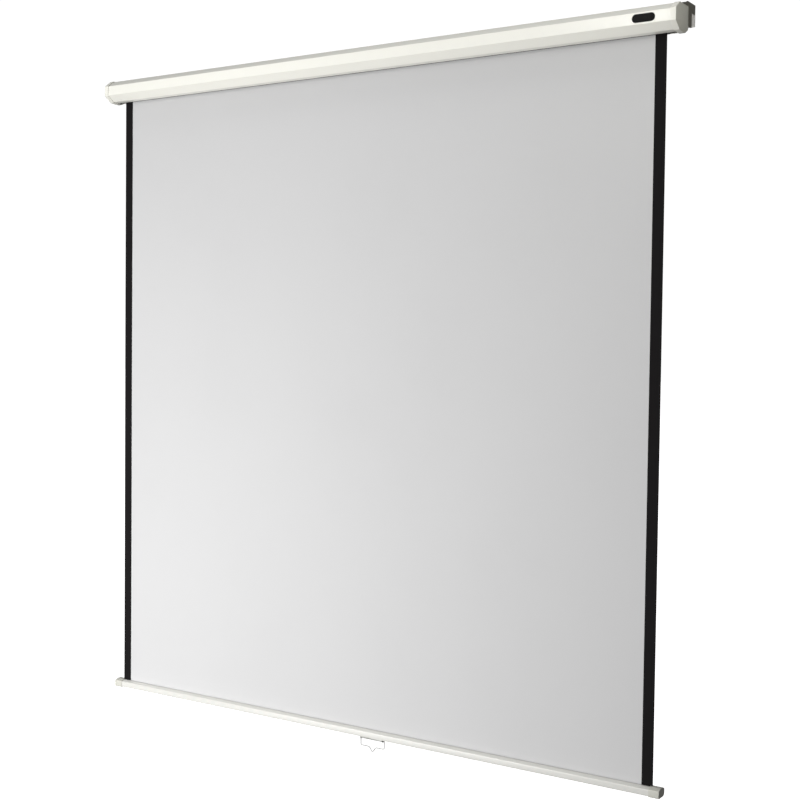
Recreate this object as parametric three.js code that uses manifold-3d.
// A wall-hung pull down projector screen: spring roller, slim aluminium case and weighted bottom bar.
// Millimetres. X runs along the case, Y towards the wall, Z up.
// The origin is on the wall plane, midway between the two wall brackets,
// at the mid-height of their wall flanges.

import * as THREE from 'three';
import { mergeVertices } from 'three/addons/utils/BufferGeometryUtils.js';
import Module from 'manifold-3d';

const wasm = await Module();
wasm.setup();

// Clearances and how finely round shapes are drawn
const FIT_GAP = 0.3;
const RUNNING_GAP = 0.6;
const CUT_OVERRUN = 2;
const VERTEX_MERGE = 1e-4;
const ROUND_SIDES = 32;
const SMALL_ROUND_SIDES = 16;
const CORNER_STEPS = 3;
const PAIR_SHARES = [-0.5, 0.5];

// Cloth
const CLOTH_WIDTH = 1800;
const CLOTH_THICKNESS = 0.4;
const VISIBLE_DROP = 1831;
const BORDER_WIDTH = 30;
const COATING_THICKNESS = 0.1;
const WRAP_TURNS = 2;
const WRAP_STEPS_PER_TURN = 20;

// Case: an extruded shell round the full roll, with a long slot in its underside
const CASE_WALL = 1.5;
const CASE_SLOT_WIDTH = 16;
const ROLL_FRONT_CLEARANCE = 1.7;
const ROLL_TOP_CLEARANCE = 3.6;
const ROLL_LIP_CLEARANCE = 7.1;
const REAR_REACH = 26;
const FRONT_FACET_SHARE = 0.436;
const LOWER_CHAMFER_HEIGHT_SHARE = 0.266;
const LOWER_CHAMFER_DEPTH_SHARE = 0.48;
const TOP_CHAMFER_DEPTH_SHARE = 0.46;
const UNDERSIDE_RISE = 1.5;
const REAR_CHAMFER_DEPTH = 17;
const REAR_CHAMFER_HEIGHT = 9.5;
const CASE_EDGE_RADIUS = 1.6;
const PORT_RADIUS = 2.7;
const PORT_INSET = 3.2;

// End caps and end plates
const END_SPACE = 24;
const END_PLATE_THICKNESS = 1.5;
const CAP_WALL = 1.5;
const CAP_OVERLAP = 9;
const CAP_FACE_THICKNESS = 2.3;
const CAP_EDGE_ROUND = 1.2;
const CAP_ROUND_STEPS = 2;

// Wall brackets: bent steel, a case flange, a web and a wall flange
const BRACKET_THICKNESS = 2;
const WALL_REACH = 71;
const WALL_FLANGE_WIDTH = 40;
const WALL_FLANGE_HEIGHT = 52;
const BRACKET_RISE = 13;
const ARM_HEIGHT = 23;
const COLUMN_DEPTH = 20;
const CASE_FLANGE_WIDTH = 40;
const CASE_FLANGE_HEIGHT = 43.5;
const BRACKET_BOTTOM_RISE = 18;
const WALL_SLOT_WIDTH = 6.5;
const WALL_SLOT_LENGTH = 14;
const WALL_SLOT_SPACING = 26;
const BRACKET_CAP_GAP = 1.8;
const NOSE_CREST_REACH = 8;
const NOSE_CREST_RADIUS = 4;
const NOSE_SHOULDER_REACH = 18;
const NOSE_SHOULDER_HEIGHT = 6.4;
const NOSE_TIP_REACH = 40;
const NOSE_TIP_HEIGHT = 1;

// Screws
const SCREW_RADIUS = 1.6;
const SCREW_HEAD_RADIUS = 3.2;
const SCREW_HEAD_HEIGHT = 1.9;
const SCREW_HEAD_TOP_SHARE = 0.8;
const SCREW_LENGTH = 11;
const BRACKET_SCREW_SPACING = 24;

// Blank badge on the front facet
const BADGE_WIDTH = 59;
const BADGE_HEIGHT = 20.5;
const BADGE_THICKNESS = 1.2;
const BADGE_INSET = 77;
const BADGE_CORNER_SHARE = 0.42;

// Roller
const TUBE_RADIUS = 19;
const TUBE_WALL = 1;
const TUBE_OVERHANG = 12;
const PLUG_DEPTH = 22;
const PLUG_FLANGE = 2.5;
const SHAFT_RADIUS_SHARE = 0.21;

// Spring end
const SPEAR_WIDTH_SHARE = 0.87;
const SPEAR_THICKNESS_SHARE = 0.37;
const SPEAR_STICKOUT = 1.8;
const SPRING_LENGTH = 264;
const SPRING_RADIUS_SHARE = 0.5;
const SPRING_WIRE_RADIUS = 0.9;
const SPRING_COILS = 28;
const SPRING_STEPS_PER_COIL = 8;
const SPRING_WIRE_SIDES = 6;
const SPRING_BOSS_LENGTH = 12;
const STOP_THICKNESS = 5;
const STOP_RADIUS_SHARE = 0.68;
const SUPPORT_THICKNESS = 8;

// Ratchet and its two pawls, with their radii as shares of the tube's
const RATCHET_RADIUS_SHARE = 0.553;
const RATCHET_BITE_SHARE = 0.1;
const PAWL_PIVOT_SHARE = 0.79;
const PAWL_LENGTH_SHARE = 0.579;
const PAWL_THICKNESS = 3.5;
const PAWL_HALF_WIDTH = 1.6;
const PAWL_TIP_RADIUS = 1.2;
const PAWL_BOSS_RADIUS = 2.9;
const PAWL_PIN_RADIUS = 1.5;
const PAWL_PIN_HEAD = 1.4;

// Idle bush
const BUSH_WALL = 2;
const BUSH_FLANGE = 3.2;
const BUSH_FLANGE_THICKNESS = 1.8;
const IDLE_STICKOUT = 1;

// Bottom bar, caps and hem
const BAR_HALF_DEPTH = 16.8;
const BAR_FRONT_HEIGHT = 16.5;
const BAR_CROWN = 4.5;
const BAR_CROWN_HALF_WIDTH = 6;
const BAR_WALL = 1.2;
const BAR_OVERHANG = 21;
const BAR_SLOT_WIDTH = 3;
const BAR_FRONT_RADIUS = 2;
const BAR_REAR_RADIUS = 8;
const BAR_EDGE_RADIUS = 1;
const BAR_CAP_LENGTH = 28.4;
const BAR_CAP_FACE = 2.1;
const BAR_CAP_WALL = 1.2;
const HEM_ROD_RADIUS = 2.5;

// Pull handle and its clip
const HANDLE_OFFSET = 65.5;
const HANDLE_WIDTH = 78.8;
const HANDLE_DROP = 23.5;
const NOTCH_DEPTH = 12.5;
const NOTCH_WIDTH = 22;
const NOTCH_TIP_WIDTH = 4;
const HANDLE_WIRE_RADIUS = 1.5;
const HANDLE_BEND_RADIUS = 4.5;
const HANDLE_EAR_BEND_RADIUS = 2.3;
const HANDLE_END_LENGTH = 4.8;
const HANDLE_STEPS = 80;
const HANDLE_WIRE_SIDES = 10;
const CLIP_THICKNESS = 1.2;
const CLIP_DEPTH = 18;
const CLIP_LIP_HEIGHT = 6;
const EAR_HEIGHT = 9;
const EAR_GAP = 1.2;
const CLIP_SCREW_SPACING = 40;

// Finishes
const FINISHES = {
  case_white: { color: 0xf0f0ec, roughness: 0.4, metalness: 0.1 },
  cap_plastic: { color: 0xe6e6dc, roughness: 0.5, metalness: 0 },
  zinc_steel: { color: 0x8f918c, roughness: 0.35, metalness: 0.8 },
  bracket_steel: { color: 0xb9bab5, roughness: 0.5, metalness: 0.5 },
  badge_black: { color: 0x121212, roughness: 0.35, metalness: 0 },
  aluminium: { color: 0xc4c6c8, roughness: 0.35, metalness: 0.9 },
  grey_nylon: { color: 0x5e6062, roughness: 0.6, metalness: 0 },
  spring_steel: { color: 0x6d6f72, roughness: 0.4, metalness: 0.9 },
  bar_white: { color: 0xeceae4, roughness: 0.4, metalness: 0.1 },
  screen_white: { color: 0xdcdcde, roughness: 0.9, metalness: 0 },
  border_black: { color: 0x1c1a1b, roughness: 0.85, metalness: 0 },
  handle_wire: { color: 0xdededb, roughness: 0.35, metalness: 0.1 },
};

// Places that follow from the sizes above, in the frame of the case's lip:
// Y from the cloth's plane, Z up from the lip
const tubeEnd = CLOTH_WIDTH / 2 + TUBE_OVERHANG;
const caseEnd = tubeEnd + END_SPACE;
const plateOuter = caseEnd + END_PLATE_THICKNESS;
const capInnerFace = plateOuter + Math.max(SCREW_HEAD_HEIGHT, SPEAR_STICKOUT) + RUNNING_GAP;
const capOuter = capInnerFace + CAP_FACE_THICKNESS;
const capRim = caseEnd - CAP_OVERLAP;
const wrapPitch = CLOTH_THICKNESS + FIT_GAP;
const wrapRadius = TUBE_RADIUS + FIT_GAP + CLOTH_THICKNESS / 2 + WRAP_TURNS * wrapPitch;
const fullRollRadius = Math.sqrt(wrapRadius ** 2 + VISIBLE_DROP * CLOTH_THICKNESS / Math.PI);
const axisY = -wrapRadius;
const axisZ = fullRollRadius + ROLL_LIP_CLEARANCE;
const caseHeight = axisZ + fullRollRadius + ROLL_TOP_CLEARANCE + CASE_WALL;
const frontReach = wrapRadius + fullRollRadius + ROLL_FRONT_CLEARANCE + CASE_WALL;
const shaftRadius = TUBE_RADIUS * SHAFT_RADIUS_SHARE;
const boreRadius = shaftRadius + FIT_GAP;
const plugRadius = TUBE_RADIUS - TUBE_WALL - FIT_GAP;
const screwHoleRadius = SCREW_RADIUS + FIT_GAP;
const originHeight = caseHeight + BRACKET_RISE - WALL_FLANGE_HEIGHT / 2;

const group = new THREE.Group();
const caseGroup = new THREE.Group();
caseGroup.position.set(0, -WALL_REACH, -originHeight);
group.add(caseGroup);
const barGroup = new THREE.Group();
barGroup.position.set(0, 0, -VISIBLE_DROP - BAR_CROWN);
caseGroup.add(barGroup);

// Solids and booleans

function toSolid(geometry) {
  const bare = geometry.clone();
  bare.deleteAttribute('normal');
  bare.deleteAttribute('uv');
  const merged = mergeVertices(bare, VERTEX_MERGE);
  const mesh = new wasm.Mesh({
    numProp: 3,
    vertProperties: new Float32Array(merged.attributes.position.array),
    triVerts: new Uint32Array(merged.index.array),
  });
  return new wasm.Manifold(mesh);
}

function toGeometry(solid) {
  const mesh = solid.getMesh();
  const geometry = new THREE.BufferGeometry();
  geometry.setAttribute('position', new THREE.BufferAttribute(mesh.vertProperties, 3));
  geometry.setIndex(new THREE.BufferAttribute(mesh.triVerts, 1));
  geometry.computeVertexNormals();
  return geometry;
}

function join(...geometries) {
  return toGeometry(geometries.map(toSolid).reduce((whole, next) => whole.add(next)));
}

function cut(base, ...tools) {
  return toGeometry(tools.map(toSolid).reduce((left, tool) => left.subtract(tool), toSolid(base)));
}

function place(parent, name, finish, geometry) {
  const mesh = new THREE.Mesh(geometry, new THREE.MeshStandardMaterial(FINISHES[finish]));
  mesh.name = name;
  parent.add(mesh);
  return mesh;
}

// Basic bodies

function box(xRange, yRange, zRange) {
  const ranges = [xRange, yRange, zRange].map(([a, b]) => [Math.min(a, b), Math.max(a, b)]);
  const sizes = ranges.map(([low, high]) => high - low);
  const middles = ranges.map(([low, high]) => (low + high) / 2);
  return new THREE.BoxGeometry(...sizes).translate(...middles);
}

const sectionToX = new THREE.Matrix4().makeBasis(
  new THREE.Vector3(0, 1, 0), new THREE.Vector3(0, 0, 1), new THREE.Vector3(1, 0, 0),
);
const frontToY = new THREE.Matrix4().makeBasis(
  new THREE.Vector3(1, 0, 0), new THREE.Vector3(0, 0, 1), new THREE.Vector3(0, -1, 0),
);

// A section drawn in (y, z) and run along X
function prismX(shape, [a, b], options = {}) {
  const plain = { depth: Math.abs(b - a), bevelEnabled: false, curveSegments: ROUND_SIDES / 2 };
  const body = new THREE.ExtrudeGeometry(shape, { ...plain, ...options });
  return body.applyMatrix4(sectionToX).translate(Math.min(a, b), 0, 0);
}

// A front view drawn in (x, z) and run along Y
function prismY(shape, [a, b]) {
  const settings = { depth: Math.abs(b - a), bevelEnabled: false, curveSegments: SMALL_ROUND_SIDES / 2 };
  const body = new THREE.ExtrudeGeometry(shape, settings);
  return body.applyMatrix4(frontToY).translate(0, Math.max(a, b), 0);
}

// A body turned about the X direction through (y, z), from pairs of place along X and radius
function turnedX(profile, y, z, sides = ROUND_SIDES) {
  const ordered = profile[0][0] < profile[profile.length - 1][0] ? profile : [...profile].reverse();
  const [start, end] = [ordered[0][0], ordered[ordered.length - 1][0]];
  const points = [[start, 0], ...ordered, [end, 0]].map(([x, radius]) => new THREE.Vector2(radius, x));
  return new THREE.LatheGeometry(points, sides).rotateZ(-Math.PI / 2).translate(0, y, z);
}

function rodX([a, b], radius, y, z, sides = ROUND_SIDES) {
  return turnedX([[Math.min(a, b), radius], [Math.max(a, b), radius]], y, z, sides);
}

function rodY([a, b], radius, x, z) {
  const length = Math.abs(b - a);
  const rod = new THREE.CylinderGeometry(radius, radius, length, SMALL_ROUND_SIDES);
  return rod.translate(x, (a + b) / 2, z);
}

function rodZ([a, b], radius, x, y) {
  const length = Math.abs(b - a);
  const rod = new THREE.CylinderGeometry(radius, radius, length, SMALL_ROUND_SIDES);
  return rod.rotateX(Math.PI / 2).translate(x, y, (a + b) / 2);
}

// Outlines: lists of [y, z, corner radius], running anticlockwise

function offsetOutline(outline, distance) {
  const count = outline.length;
  const edges = outline.map(([y, z], i) => {
    const [nextY, nextZ] = outline[(i + 1) % count];
    const length = Math.hypot(nextY - y, nextZ - z);
    const normal = [(nextZ - z) / length, (y - nextY) / length];
    return { normal, reach: normal[0] * y + normal[1] * z + distance };
  });
  return outline.map(([, , radius], i) => {
    const before = edges[(i + count - 1) % count];
    const after = edges[i];
    const cross = before.normal[0] * after.normal[1] - before.normal[1] * after.normal[0];
    return [
      (before.reach * after.normal[1] - after.reach * before.normal[1]) / cross,
      (after.reach * before.normal[0] - before.reach * after.normal[0]) / cross,
      Math.max(radius + distance, 0),
    ];
  });
}

function roundedShape(outline) {
  const count = outline.length;
  const corners = outline.map(([y, z]) => new THREE.Vector2(y, z));
  const points = [];
  outline.forEach(([, , radius], i) => {
    const corner = corners[i];
    const toBefore = corners[(i + count - 1) % count].clone().sub(corner);
    const toAfter = corners[(i + 1) % count].clone().sub(corner);
    const half = Math.acos(toBefore.dot(toAfter) / (toBefore.length() * toAfter.length())) / 2;
    const room = Math.min(toBefore.length(), toAfter.length()) / 2;
    const back = Math.min(radius / Math.tan(half), room);
    if (back < VERTEX_MERGE * 2) {
      points.push(corner);
      return;
    }
    const start = corner.clone().addScaledVector(toBefore.normalize(), back);
    const end = corner.clone().addScaledVector(toAfter.normalize(), back);
    points.push(...new THREE.QuadraticBezierCurve(start, corner, end).getPoints(CORNER_STEPS));
  });
  return new THREE.Shape(points);
}

// A straight-sided slot with round ends, along X
function slotShape(x, z, length, width) {
  const half = length / 2 - width / 2;
  const shape = new THREE.Shape();
  shape.absarc(x + half, z, width / 2, -Math.PI / 2, Math.PI / 2);
  shape.absarc(x - half, z, width / 2, Math.PI / 2, Math.PI * 1.5);
  return shape;
}

// A pan head screw lying along X: seat is the place of its head's underside,
// and its shank runs towards the middle
function screwX(side, seat, y, z) {
  const profile = [
    [side * (seat - SCREW_LENGTH), SCREW_RADIUS],
    [side * seat, SCREW_RADIUS],
    [side * seat, SCREW_HEAD_RADIUS],
    [side * (seat + SCREW_HEAD_HEIGHT), SCREW_HEAD_RADIUS * SCREW_HEAD_TOP_SHARE],
  ];
  return turnedX(profile, y, z, SMALL_ROUND_SIDES);
}

// Case shell, end plates and end caps

const facetBottom = UNDERSIDE_RISE + caseHeight * LOWER_CHAMFER_HEIGHT_SHARE;
const facetTop = facetBottom + caseHeight * FRONT_FACET_SHARE;
const caseCorners = {
  slot_rear: [REAR_REACH - REAR_CHAMFER_DEPTH, 0, CASE_EDGE_RADIUS],
  rear_lower: [REAR_REACH, REAR_CHAMFER_HEIGHT, CASE_EDGE_RADIUS],
  rear_upper: [REAR_REACH, caseHeight, CASE_EDGE_RADIUS],
  top_front: [-frontReach * (1 - TOP_CHAMFER_DEPTH_SHARE), caseHeight, CASE_EDGE_RADIUS],
  facet_top: [-frontReach, facetTop, CASE_EDGE_RADIUS],
  front: [-frontReach, facetBottom, CASE_EDGE_RADIUS],
  under_front: [-frontReach * (1 - LOWER_CHAMFER_DEPTH_SHARE), UNDERSIDE_RISE, CASE_EDGE_RADIUS],
  slot_front: [-CASE_SLOT_WIDTH / 2, 0, 0],
};
const caseOutline = Object.values(caseCorners);
const insetOutline = offsetOutline(caseOutline, -PORT_INSET);
const ports = ['rear_lower', 'rear_upper', 'front'].map((name) => {
  const [y, z] = insetOutline[Object.keys(caseCorners).indexOf(name)];
  return { name, y, z };
});

const caseFlangeInner = capRim - BRACKET_CAP_GAP - CASE_FLANGE_WIDTH;
const bracketScrewX = caseFlangeInner + CASE_FLANGE_WIDTH / 2;
const bracketScrewMiddle = BRACKET_BOTTOM_RISE + CASE_FLANGE_HEIGHT / 2;
const bracketScrewHeights = PAIR_SHARES.map((share) => (
  bracketScrewMiddle + share * BRACKET_SCREW_SPACING
));

function portHoles(range) {
  return ports.map(({ y, z }) => rodX(range, screwHoleRadius, y, z, SMALL_ROUND_SIDES));
}

function caseShell() {
  const length = [-caseEnd, caseEnd];
  const past = [-caseEnd - CUT_OVERRUN, caseEnd + CUT_OVERRUN];
  const wall = cut(
    prismX(roundedShape(caseOutline), length),
    prismX(roundedShape(offsetOutline(caseOutline, -CASE_WALL)), past),
    box(past, [-CASE_SLOT_WIDTH / 2, CASE_SLOT_WIDTH / 2], [-CUT_OVERRUN, CASE_WALL + CUT_OVERRUN]),
  );
  const portRods = ports.map(({ y, z }) => rodX(length, PORT_RADIUS, y, z, SMALL_ROUND_SIDES));
  const throughBack = [REAR_REACH - CASE_WALL - CUT_OVERRUN, REAR_REACH + CUT_OVERRUN];
  const backHoles = [-1, 1].flatMap((side) => bracketScrewHeights.map((z) => (
    rodY(throughBack, screwHoleRadius, side * bracketScrewX, z)
  )));
  return cut(join(wall, ...portRods), ...portHoles(past), ...backHoles);
}

function endPlate(side, centreHole) {
  const plate = prismX(roundedShape(caseOutline), [side * caseEnd, side * plateOuter]);
  const past = [side * (caseEnd - CUT_OVERRUN), side * (plateOuter + CUT_OVERRUN)];
  return cut(plate, centreHole(past), ...portHoles(past));
}

function endCap(side) {
  const outer = roundedShape(offsetOutline(caseOutline, FIT_GAP + CAP_WALL));
  const bevel = {
    bevelEnabled: true,
    bevelThickness: CAP_EDGE_ROUND,
    bevelSize: CAP_EDGE_ROUND,
    bevelOffset: -CAP_EDGE_ROUND,
    bevelSegments: CAP_ROUND_STEPS,
    depth: capOuter - capRim,
  };
  const shift = -side * CAP_EDGE_ROUND;
  const body = prismX(outer, [side * capRim, side * capOuter], bevel).translate(shift, 0, 0);
  const inner = prismX(
    roundedShape(offsetOutline(caseOutline, FIT_GAP)),
    [side * (capRim - CUT_OVERRUN), side * capInnerFace],
  );
  const reach = frontReach + REAR_REACH + caseHeight;
  const trim = box([side * (capRim - CUT_OVERRUN * 2), side * capRim], [-reach, reach], [-reach, reach]);
  return cut(body, inner, trim);
}

place(caseGroup, 'case_shell', 'case_white', caseShell());

const spearHole = (past) => {
  const halfWidth = shaftRadius * SPEAR_WIDTH_SHARE + FIT_GAP;
  const halfThickness = shaftRadius * SPEAR_THICKNESS_SHARE + FIT_GAP;
  const depths = [axisY - halfWidth, axisY + halfWidth];
  return box(past, depths, [axisZ - halfThickness, axisZ + halfThickness]);
};
const bushOuter = boreRadius + BUSH_WALL;
const bushHole = (past) => rodX(past, bushOuter + FIT_GAP, axisY, axisZ);
const ENDS = { left: [-1, spearHole], right: [1, bushHole] };

for (const [name, [side, centreHole]] of Object.entries(ENDS)) {
  place(caseGroup, `end_plate_${name}`, 'zinc_steel', endPlate(side, centreHole));
  place(caseGroup, `end_cap_${name}`, 'cap_plastic', endCap(side));
  for (const port of ports) {
    const screw = screwX(side, plateOuter, port.y, port.z);
    place(caseGroup, `end_screw_${name}_${port.name}`, 'zinc_steel', screw);
  }
}

// Blank badge

function badgePlate() {
  const middleX = caseEnd - BADGE_INSET;
  const middleZ = (facetBottom + facetTop) / 2;
  const radius = BADGE_HEIGHT * BADGE_CORNER_SHARE;
  const [halfWidth, halfHeight] = [BADGE_WIDTH / 2, BADGE_HEIGHT / 2];
  const outline = [
    [middleX - halfWidth, middleZ - halfHeight, radius],
    [middleX + halfWidth, middleZ - halfHeight, radius],
    [middleX + halfWidth, middleZ + halfHeight, radius],
    [middleX - halfWidth, middleZ + halfHeight, radius],
  ];
  return prismY(roundedShape(outline), [-frontReach - BADGE_THICKNESS, -frontReach]);
}
place(caseGroup, 'badge_plate', 'badge_black', badgePlate());

// Wall brackets, joggled to clear the end cap's rim, each with a nose over the top of the cap

const capBack = REAR_REACH + FIT_GAP + CAP_WALL;
const capTop = caseHeight + FIT_GAP + CAP_WALL;
const bracketTop = caseHeight + BRACKET_RISE;
const wallFlangeBottom = bracketTop - WALL_FLANGE_HEIGHT;
const stepFront = capBack + FIT_GAP;

function wallBracket(side) {
  const caseFlangeOuter = caseFlangeInner + CASE_FLANGE_WIDTH;
  const flangeHeights = [BRACKET_BOTTOM_RISE, BRACKET_BOTTOM_RISE + CASE_FLANGE_HEIGHT];
  const caseFlange = box(
    [side * caseFlangeInner, side * caseFlangeOuter],
    [REAR_REACH, REAR_REACH + BRACKET_THICKNESS],
    flangeHeights,
  );
  const joggle = box(
    [side * (caseFlangeOuter - BRACKET_THICKNESS), side * caseFlangeOuter],
    [REAR_REACH, stepFront + BRACKET_THICKNESS],
    flangeHeights,
  );
  const stepFlange = box(
    [side * (caseFlangeOuter - BRACKET_THICKNESS), side * capOuter],
    [stepFront, stepFront + BRACKET_THICKNESS],
    flangeHeights,
  );
  const columnBack = stepFront + COLUMN_DEPTH;
  const noseBottom = capTop + FIT_GAP;
  const web = prismX(roundedShape([
    [stepFront, BRACKET_BOTTOM_RISE, 0],
    [columnBack, BRACKET_BOTTOM_RISE, CASE_EDGE_RADIUS],
    [columnBack, bracketTop - ARM_HEIGHT, CASE_EDGE_RADIUS],
    [WALL_REACH, bracketTop - ARM_HEIGHT, 0],
    [WALL_REACH, bracketTop, 0],
    [stepFront - NOSE_CREST_REACH, bracketTop, NOSE_CREST_RADIUS],
    [stepFront - NOSE_SHOULDER_REACH, noseBottom + NOSE_SHOULDER_HEIGHT, CASE_EDGE_RADIUS],
    [stepFront - NOSE_TIP_REACH, noseBottom + NOSE_TIP_HEIGHT, 0],
    [stepFront - NOSE_TIP_REACH, noseBottom, 0],
    [stepFront, noseBottom, 0],
  ]), [side * (capOuter - BRACKET_THICKNESS), side * capOuter]);
  const wallFlange = box(
    [side * (capOuter - WALL_FLANGE_WIDTH), side * capOuter],
    [WALL_REACH - BRACKET_THICKNESS, WALL_REACH],
    [wallFlangeBottom, bracketTop],
  );
  const slotX = side * (capOuter - WALL_FLANGE_WIDTH / 2 - BRACKET_THICKNESS / 2);
  const throughWallFlange = [WALL_REACH - BRACKET_THICKNESS - CUT_OVERRUN, WALL_REACH + CUT_OVERRUN];
  const wallSlots = PAIR_SHARES.map((share) => {
    const slotZ = originHeight + share * WALL_SLOT_SPACING;
    return prismY(slotShape(slotX, slotZ, WALL_SLOT_LENGTH, WALL_SLOT_WIDTH), throughWallFlange);
  });
  const throughCaseFlange = [REAR_REACH - CUT_OVERRUN, REAR_REACH + BRACKET_THICKNESS + CUT_OVERRUN];
  const screwHoles = bracketScrewHeights.map((z) => (
    rodY(throughCaseFlange, screwHoleRadius, side * bracketScrewX, z)
  ));
  return cut(join(caseFlange, joggle, stepFlange, web, wallFlange), ...wallSlots, ...screwHoles);
}

// A pan head screw driven into the back of the case
function bracketScrew(side, z) {
  const seat = REAR_REACH + BRACKET_THICKNESS;
  const screw = screwX(1, seat, 0, 0).rotateZ(Math.PI / 2);
  return screw.translate(side * bracketScrewX, 0, z);
}

for (const [name, [side]] of Object.entries(ENDS)) {
  place(caseGroup, `wall_bracket_${name}`, 'bracket_steel', wallBracket(side));
  bracketScrewHeights.forEach((z, i) => {
    const screwName = `bracket_screw_${name}_${['lower', 'upper'][i]}`;
    place(caseGroup, screwName, 'zinc_steel', bracketScrew(side, z));
  });
}

// Spring shaft, ratchet, spring and shaft stop: these never turn

const flangeOuter = tubeEnd + PLUG_FLANGE;
const pawlInner = flangeOuter + RUNNING_GAP;
const pawlOuter = pawlInner + PAWL_THICKNESS;
const plugInner = tubeEnd - PLUG_DEPTH;
const springOuter = plugInner - FIT_GAP - SPRING_WIRE_RADIUS;
const springInner = springOuter - SPRING_LENGTH;
const stopOuter = springInner - SPRING_WIRE_RADIUS - FIT_GAP;
const stopInner = stopOuter - STOP_THICKNESS;
const supportOuter = stopInner - RUNNING_GAP;
const supportInner = supportOuter - SUPPORT_THICKNESS;
const springRadius = TUBE_RADIUS * SPRING_RADIUS_SHARE;
const springChordRadius = springRadius * Math.cos(Math.PI / SPRING_STEPS_PER_COIL);
const stopRadius = TUBE_RADIUS * STOP_RADIUS_SHARE;
const springBossRadius = springChordRadius - SPRING_WIRE_RADIUS - FIT_GAP;

function springShaft() {
  const round = rodX([-caseEnd + FIT_GAP, -supportInner + FIT_GAP], shaftRadius, axisY, axisZ);
  const spear = box(
    [-plateOuter - SPEAR_STICKOUT, -caseEnd + CUT_OVERRUN],
    [axisY - shaftRadius * SPEAR_WIDTH_SHARE, axisY + shaftRadius * SPEAR_WIDTH_SHARE],
    [axisZ - shaftRadius * SPEAR_THICKNESS_SHARE, axisZ + shaftRadius * SPEAR_THICKNESS_SHARE],
  );
  return join(round, spear);
}

function shaftStop() {
  const body = turnedX([
    [-stopOuter - SPRING_BOSS_LENGTH, springBossRadius],
    [-stopOuter, springBossRadius],
    [-stopOuter, stopRadius],
    [-stopInner, stopRadius],
  ], axisY, axisZ);
  const bore = [-stopOuter - SPRING_BOSS_LENGTH - CUT_OVERRUN, -stopInner + CUT_OVERRUN];
  return cut(body, rodX(bore, boreRadius, axisY, axisZ));
}

class SpringLine extends THREE.Curve {
  getPoint(t) {
    const turn = t * SPRING_COILS * Math.PI * 2;
    const x = -springOuter + t * SPRING_LENGTH;
    const y = axisY + springRadius * Math.cos(turn);
    const z = axisZ + springRadius * Math.sin(turn);
    return new THREE.Vector3(x, y, z);
  }
}

function roundWire(radius, sides, path, steps) {
  const section = new THREE.Shape();
  section.absarc(0, 0, radius, 0, Math.PI * 2);
  const settings = { extrudePath: path, steps, curveSegments: sides / 2, bevelEnabled: false };
  return new THREE.ExtrudeGeometry(section, settings);
}

// Two opposite pawls; where one lies is given as the angle at its pivot
// between the line to the roller's axis and its arm
const pawlTurns = { pawl_a: 0, pawl_b: Math.PI };
const pivotRadius = TUBE_RADIUS * PAWL_PIVOT_SHARE;
const pawlLength = TUBE_RADIUS * PAWL_LENGTH_SHARE;
const ratchetRadius = TUBE_RADIUS * RATCHET_RADIUS_SHARE;
const droppedTip = TUBE_RADIUS * (RATCHET_RADIUS_SHARE - RATCHET_BITE_SHARE);
const dropped = Math.acos(
  (pivotRadius ** 2 + pawlLength ** 2 - droppedTip ** 2) / (2 * pivotRadius * pawlLength),
);
const thrownOut = Math.asin((ratchetRadius + PAWL_HALF_WIDTH + RUNNING_GAP) / pivotRadius);

// A body drawn with its pawl pivot above the roller's axis, turned to the place of one of the two pawls
function turnedAboutAxis(geometry, angle) {
  return geometry.translate(0, -axisY, -axisZ).rotateX(angle).translate(0, axisY, axisZ);
}

function ratchetWheel() {
  const disc = rodX([-pawlInner, -pawlOuter], ratchetRadius, axisY, axisZ);
  const past = [-pawlInner + CUT_OVERRUN, -pawlOuter - CUT_OVERRUN];
  const ramp = pivotRadius * Math.sin(dropped) - PAWL_HALF_WIDTH - FIT_GAP;
  const stopFace = pivotRadius * Math.cos(dropped) - pawlLength - PAWL_TIP_RADIUS - FIT_GAP;
  const notches = Object.values(pawlTurns).map((turn) => {
    const tool = box(past, [-ratchetRadius * 2, -ramp], [stopFace, ratchetRadius * 2]);
    return tool.rotateX(turn - dropped).translate(0, axisY, axisZ);
  });
  return cut(disc, ...notches, rodX(past, boreRadius, axisY, axisZ));
}

place(caseGroup, 'spring_shaft', 'zinc_steel', springShaft());
place(caseGroup, 'ratchet_wheel', 'zinc_steel', ratchetWheel());
place(caseGroup, 'shaft_stop', 'grey_nylon', shaftStop());
const springSteps = SPRING_COILS * SPRING_STEPS_PER_COIL;
const springWire = roundWire(SPRING_WIRE_RADIUS, SPRING_WIRE_SIDES, new SpringLine(), springSteps);
place(caseGroup, 'torsion_spring', 'spring_steel', springWire);

function idleBush() {
  const sleeveOuter = plateOuter + IDLE_STICKOUT;
  const flangeInner = caseEnd - FIT_GAP - BUSH_FLANGE_THICKNESS;
  const body = turnedX([
    [flangeInner, bushOuter + BUSH_FLANGE],
    [caseEnd - FIT_GAP, bushOuter + BUSH_FLANGE],
    [caseEnd - FIT_GAP, bushOuter],
    [sleeveOuter, bushOuter],
  ], axisY, axisZ);
  const past = [flangeInner - CUT_OVERRUN, sleeveOuter + CUT_OVERRUN];
  return cut(body, rodX(past, boreRadius, axisY, axisZ));
}
place(caseGroup, 'idle_bush', 'grey_nylon', idleBush());

// Roller: tube, plugs, support bush, pawl pins and the turns of cloth that stay on it

function rollerTube() {
  const past = [-tubeEnd - CUT_OVERRUN, tubeEnd + CUT_OVERRUN];
  return cut(
    rodX([-tubeEnd, tubeEnd], TUBE_RADIUS, axisY, axisZ),
    rodX(past, TUBE_RADIUS - TUBE_WALL, axisY, axisZ),
  );
}

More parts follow.
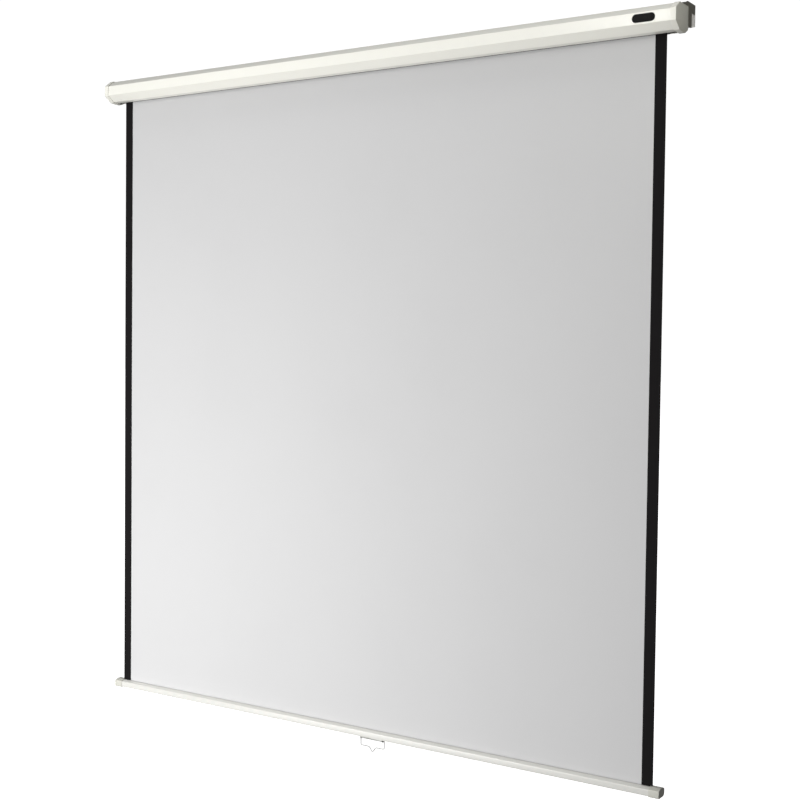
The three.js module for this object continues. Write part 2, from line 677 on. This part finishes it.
function springEndPlug() {
  const body = turnedX([
    [-flangeOuter, TUBE_RADIUS],
    [-tubeEnd, TUBE_RADIUS],
    [-tubeEnd, plugRadius],
    [-plugInner, plugRadius],
    [-plugInner, springBossRadius],
    [-plugInner + SPRING_BOSS_LENGTH, springBossRadius],
  ], axisY, axisZ);
  const past = [-flangeOuter - CUT_OVERRUN, -plugInner + SPRING_BOSS_LENGTH + CUT_OVERRUN];
  const pinRange = [-flangeOuter - CUT_OVERRUN, -plugInner + CUT_OVERRUN];
  const holeRadius = PAWL_PIN_RADIUS + FIT_GAP;
  const pinHoles = Object.values(pawlTurns).map((turn) => {
    const hole = rodX(pinRange, holeRadius, axisY, axisZ + pivotRadius, SMALL_ROUND_SIDES);
    return turnedAboutAxis(hole, turn);
  });
  return cut(body, rodX(past, boreRadius, axisY, axisZ), ...pinHoles);
}

function idlePlug() {
  return turnedX([
    [plugInner, plugRadius],
    [tubeEnd, plugRadius],
    [tubeEnd, TUBE_RADIUS],
    [flangeOuter, TUBE_RADIUS],
    [flangeOuter, shaftRadius],
    [plateOuter + IDLE_STICKOUT, shaftRadius],
  ], axisY, axisZ);
}

function supportBush() {
  const disc = rodX([-supportOuter, -supportInner], plugRadius, axisY, axisZ);
  const past = [-supportOuter - CUT_OVERRUN, -supportInner + CUT_OVERRUN];
  return cut(disc, rodX(past, boreRadius, axisY, axisZ));
}

function pawlPin(turn) {
  const headInner = pawlOuter + FIT_GAP;
  const pin = turnedX([
    [-headInner - PAWL_PIN_HEAD, PAWL_BOSS_RADIUS],
    [-headInner, PAWL_BOSS_RADIUS],
    [-headInner, PAWL_PIN_RADIUS],
    [-plugInner, PAWL_PIN_RADIUS],
  ], axisY, axisZ + pivotRadius, SMALL_ROUND_SIDES);
  return turnedAboutAxis(pin, turn);
}

function pawl(turn) {
  const thickness = [-pawlInner, -pawlOuter];
  const past = [-pawlInner + CUT_OVERRUN, -pawlOuter - CUT_OVERRUN];
  const boss = rodX(thickness, PAWL_BOSS_RADIUS, 0, 0, SMALL_ROUND_SIDES);
  const arm = box(thickness, [-PAWL_HALF_WIDTH, PAWL_HALF_WIDTH], [-pawlLength, 0]);
  const tip = rodX(thickness, PAWL_TIP_RADIUS, 0, -pawlLength, SMALL_ROUND_SIDES);
  const hole = rodX(past, PAWL_PIN_RADIUS + FIT_GAP, 0, 0, SMALL_ROUND_SIDES);
  const body = cut(join(boss, arm, tip), hole).rotateX(-thrownOut);
  return turnedAboutAxis(body.translate(0, axisY, axisZ + pivotRadius), turn);
}

// The turns left on the roller when the screen is down, wound over the top from the rear
function screenWrap() {
  const steps = WRAP_TURNS * WRAP_STEPS_PER_TURN;
  const side = (offset) => Array.from({ length: steps + 1 }, (_, i) => {
    const angle = (i / WRAP_STEPS_PER_TURN) * Math.PI * 2;
    const radius = wrapRadius - wrapPitch * (i / WRAP_STEPS_PER_TURN) + offset;
    return new THREE.Vector2(axisY + radius * Math.cos(angle), axisZ + radius * Math.sin(angle));
  });
  const section = new THREE.Shape([
    ...side(CLOTH_THICKNESS / 2), ...side(-CLOTH_THICKNESS / 2).reverse(),
  ]);
  return prismX(section, [-CLOTH_WIDTH / 2, CLOTH_WIDTH / 2]);
}

place(caseGroup, 'roller_tube', 'aluminium', rollerTube());
place(caseGroup, 'spring_end_plug', 'grey_nylon', springEndPlug());
place(caseGroup, 'idle_plug', 'grey_nylon', idlePlug());
place(caseGroup, 'shaft_support_bush', 'grey_nylon', supportBush());
place(caseGroup, 'screen_wrap', 'border_black', screenWrap());
for (const [name, turn] of Object.entries(pawlTurns)) {
  place(caseGroup, `${name}_pin`, 'zinc_steel', pawlPin(turn));
  place(caseGroup, name, 'zinc_steel', pawl(turn));
}

// Hanging cloth with its side borders and black backing

const hemRadius = HEM_ROD_RADIUS + FIT_GAP + CLOTH_THICKNESS;
const channelTop = BAR_CROWN - BAR_WALL;
const hemZ = channelTop - FIT_GAP - hemRadius;
const hemTop = channelTop + BAR_WALL / 2 - FIT_GAP / 2;
const clothBottom = -VISIBLE_DROP - BAR_CROWN + hemTop + FIT_GAP;
const clothHeights = [clothBottom, axisZ - FIT_GAP];
const clothFront = -CLOTH_THICKNESS / 2;
const clothBack = CLOTH_THICKNESS / 2;
const clothSide = CLOTH_WIDTH / 2;

const clothWidth = [-clothSide, clothSide];
const borderFront = [clothFront - COATING_THICKNESS, clothFront];
const clothLayers = {
  screen_cloth: ['screen_white', clothWidth, [clothFront, clothBack]],
  black_backing: ['border_black', clothWidth, [clothBack, clothBack + COATING_THICKNESS]],
  border_left: ['border_black', [-clothSide, -clothSide + BORDER_WIDTH], borderFront],
  border_right: ['border_black', [clothSide - BORDER_WIDTH, clothSide], borderFront],
};
for (const [name, [finish, xRange, yRange]] of Object.entries(clothLayers)) {
  place(caseGroup, name, finish, box(xRange, yRange, clothHeights));
}

// Bottom bar: a hollow extrusion with a channel that holds the rod in the cloth's hem

const barOutline = [
  [-BAR_HALF_DEPTH, -BAR_FRONT_HEIGHT, BAR_FRONT_RADIUS],
  [BAR_HALF_DEPTH, -BAR_FRONT_HEIGHT, BAR_REAR_RADIUS],
  [BAR_HALF_DEPTH, 0, BAR_FRONT_RADIUS],
  [BAR_CROWN_HALF_WIDTH, BAR_CROWN, BAR_EDGE_RADIUS],
  [-BAR_CROWN_HALF_WIDTH, BAR_CROWN, BAR_EDGE_RADIUS],
  [-BAR_HALF_DEPTH, 0, BAR_EDGE_RADIUS],
];
const barEnd = CLOTH_WIDTH / 2 + BAR_OVERHANG;
const barCapOuter = barEnd + FIT_GAP + BAR_CAP_FACE;
const barCapInner = barCapOuter - BAR_CAP_LENGTH;
const clipTop = -BAR_FRONT_HEIGHT;
const clipBottom = clipTop - CLIP_THICKNESS;
const clipScrewPlaces = PAIR_SHARES.map((share) => HANDLE_OFFSET + share * CLIP_SCREW_SPACING);

function bottomBar() {
  const length = [-barEnd, barEnd];
  const past = [-barEnd - CUT_OVERRUN, barEnd + CUT_OVERRUN];
  const channelHalf = hemRadius + RUNNING_GAP;
  const channelFloor = hemZ - hemRadius - FIT_GAP;
  const inside = prismX(roundedShape(offsetOutline(barOutline, -BAR_WALL)), past);
  const channelBlock = box(
    [past[0] - CUT_OVERRUN, past[1] + CUT_OVERRUN],
    [-channelHalf - BAR_WALL, channelHalf + BAR_WALL],
    [channelFloor - BAR_WALL, BAR_CROWN],
  );
  const hollow = cut(inside, channelBlock);
  const channel = box(past, [-channelHalf, channelHalf], [channelFloor, channelTop]);
  const slotHeights = [channelFloor, BAR_CROWN + CUT_OVERRUN];
  const slot = box(past, [-BAR_SLOT_WIDTH / 2, BAR_SLOT_WIDTH / 2], slotHeights);
  const screwHoles = clipScrewPlaces.map((x) => (
    rodZ([clipTop - CUT_OVERRUN, clipTop + BAR_WALL + CUT_OVERRUN], screwHoleRadius, x, 0)
  ));
  return cut(prismX(roundedShape(barOutline), length), hollow, channel, slot, ...screwHoles);
}

function barCap(side) {
  const outer = prismX(
    roundedShape(offsetOutline(barOutline, FIT_GAP + BAR_CAP_WALL)),
    [side * barCapInner, side * barCapOuter],
  );
  const inner = prismX(
    roundedShape(offsetOutline(barOutline, FIT_GAP)),
    [side * (barCapInner - CUT_OVERRUN), side * (barEnd + FIT_GAP)],
  );
  const notch = box(
    [side * (barCapInner - CUT_OVERRUN), side * (clothSide + BAR_SLOT_WIDTH / 2)],
    [-BAR_SLOT_WIDTH / 2, BAR_SLOT_WIDTH / 2],
    [0, BAR_CROWN + BAR_CAP_WALL + FIT_GAP + CUT_OVERRUN],
  );
  return cut(outer, inner, notch);
}

// The hem: the cloth's lower edge folded round the rod, with its two layers up in the bar's slot
function hemSleeve() {
  const length = [-clothSide, clothSide];
  const past = [-clothSide - CUT_OVERRUN, clothSide + CUT_OVERRUN];
  const loop = rodX(length, hemRadius, 0, hemZ, SMALL_ROUND_SIDES);
  const neck = box(length, [-CLOTH_THICKNESS, CLOTH_THICKNESS], [hemZ, hemTop]);
  return cut(join(loop, neck), rodX(past, HEM_ROD_RADIUS + FIT_GAP, 0, hemZ, SMALL_ROUND_SIDES));
}

place(barGroup, 'bottom_bar', 'bar_white', bottomBar());
place(barGroup, 'bar_cap_left', 'cap_plastic', barCap(-1));
place(barGroup, 'bar_cap_right', 'cap_plastic', barCap(1));
place(barGroup, 'hem_sleeve', 'border_black', hemSleeve());
const hemRod = rodX([-clothSide, clothSide], HEM_ROD_RADIUS, 0, hemZ, SMALL_ROUND_SIDES);
place(barGroup, 'hem_rod', 'grey_nylon', hemRod);

// Handle clip: a folded plate under the bar with an ear at each end and a lip along its front

const legX = HANDLE_WIDTH / 2;
const earOuter = legX - HANDLE_WIRE_RADIUS - EAR_GAP;
const earInner = earOuter - CLIP_THICKNESS;
const earBottom = clipTop - EAR_HEIGHT;
const pivotZ = clipBottom - (EAR_HEIGHT - CLIP_THICKNESS) / 2;

function handleClip() {
  const halfDepth = CLIP_DEPTH / 2;
  const lipBottom = clipTop - CLIP_LIP_HEIGHT;
  const length = [-earOuter, earOuter];
  const plate = box(length, [-halfDepth, halfDepth], [clipBottom, clipTop]);
  const lip = box(length, [-halfDepth, -halfDepth + CLIP_THICKNESS], [lipBottom, clipTop]);
  const earShape = roundedShape([
    [-halfDepth, lipBottom, 0],
    [-halfDepth / 2, earBottom, CASE_EDGE_RADIUS],
    [halfDepth / 2, earBottom, CASE_EDGE_RADIUS],
    [halfDepth, lipBottom, 0],
    [halfDepth, clipTop, 0],
    [-halfDepth, clipTop, 0],
  ]);
  const ears = [-1, 1].map((side) => prismX(earShape, [side * earInner, side * earOuter]));
  const past = [-earOuter - CUT_OVERRUN, earOuter + CUT_OVERRUN];
  const pivotHole = rodX(past, HANDLE_WIRE_RADIUS + FIT_GAP, 0, pivotZ, SMALL_ROUND_SIDES);
  const screwHoles = clipScrewPlaces.map((x) => (
    rodZ([clipBottom - CUT_OVERRUN, clipTop + CUT_OVERRUN], screwHoleRadius, x - HANDLE_OFFSET, 0)
  ));
  return cut(join(plate, lip, ...ears), pivotHole, ...screwHoles).translate(HANDLE_OFFSET, 0, 0);
}

// A wire bail: two inward ends in the ears, two legs,
// and a bottom run with a pointed notch in its middle
function handlePath() {
  const legBottom = pivotZ - HANDLE_DROP;
  const half = [
    [earInner - HANDLE_END_LENGTH, pivotZ, 0],
    [legX, pivotZ, HANDLE_EAR_BEND_RADIUS],
    [legX, legBottom, HANDLE_BEND_RADIUS],
    [NOTCH_WIDTH / 2, legBottom, HANDLE_BEND_RADIUS],
    [NOTCH_TIP_WIDTH / 2, legBottom - NOTCH_DEPTH, HANDLE_BEND_RADIUS],
  ];
  const mirrored = half.map(([x, z, radius]) => [-x, z, radius]);
  const corners = [...mirrored, ...half.reverse()];
  const points = corners.map(([x, z]) => new THREE.Vector3(HANDLE_OFFSET + x, 0, z));
  const path = new THREE.CurvePath();
  let from = points[0];
  for (let i = 1; i < points.length - 1; i += 1) {
    const before = points[i - 1].clone().sub(points[i]);
    const after = points[i + 1].clone().sub(points[i]);
    const back = Math.min(corners[i][2], before.length() / 2, after.length() / 2);
    const start = points[i].clone().addScaledVector(before.normalize(), back);
    const end = points[i].clone().addScaledVector(after.normalize(), back);
    if (from.distanceTo(start) > VERTEX_MERGE) {
      path.add(new THREE.LineCurve3(from, start));
    }
    path.add(new THREE.QuadraticBezierCurve3(start, points[i], end));
    from = end;
  }
  path.add(new THREE.LineCurve3(from, points[points.length - 1]));
  return path;
}

place(barGroup, 'handle_clip', 'zinc_steel', handleClip());
clipScrewPlaces.forEach((x, i) => {
  const screw = screwX(1, 0, 0, 0).rotateY(Math.PI / 2).translate(x, 0, clipBottom);
  place(barGroup, `handle_screw_${['left', 'right'][i]}`, 'zinc_steel', screw);
});
const handleWire = roundWire(HANDLE_WIRE_RADIUS, HANDLE_WIRE_SIDES, handlePath(), HANDLE_STEPS);
place(barGroup, 'pull_handle', 'handle_wire', handleWire);

export default group;
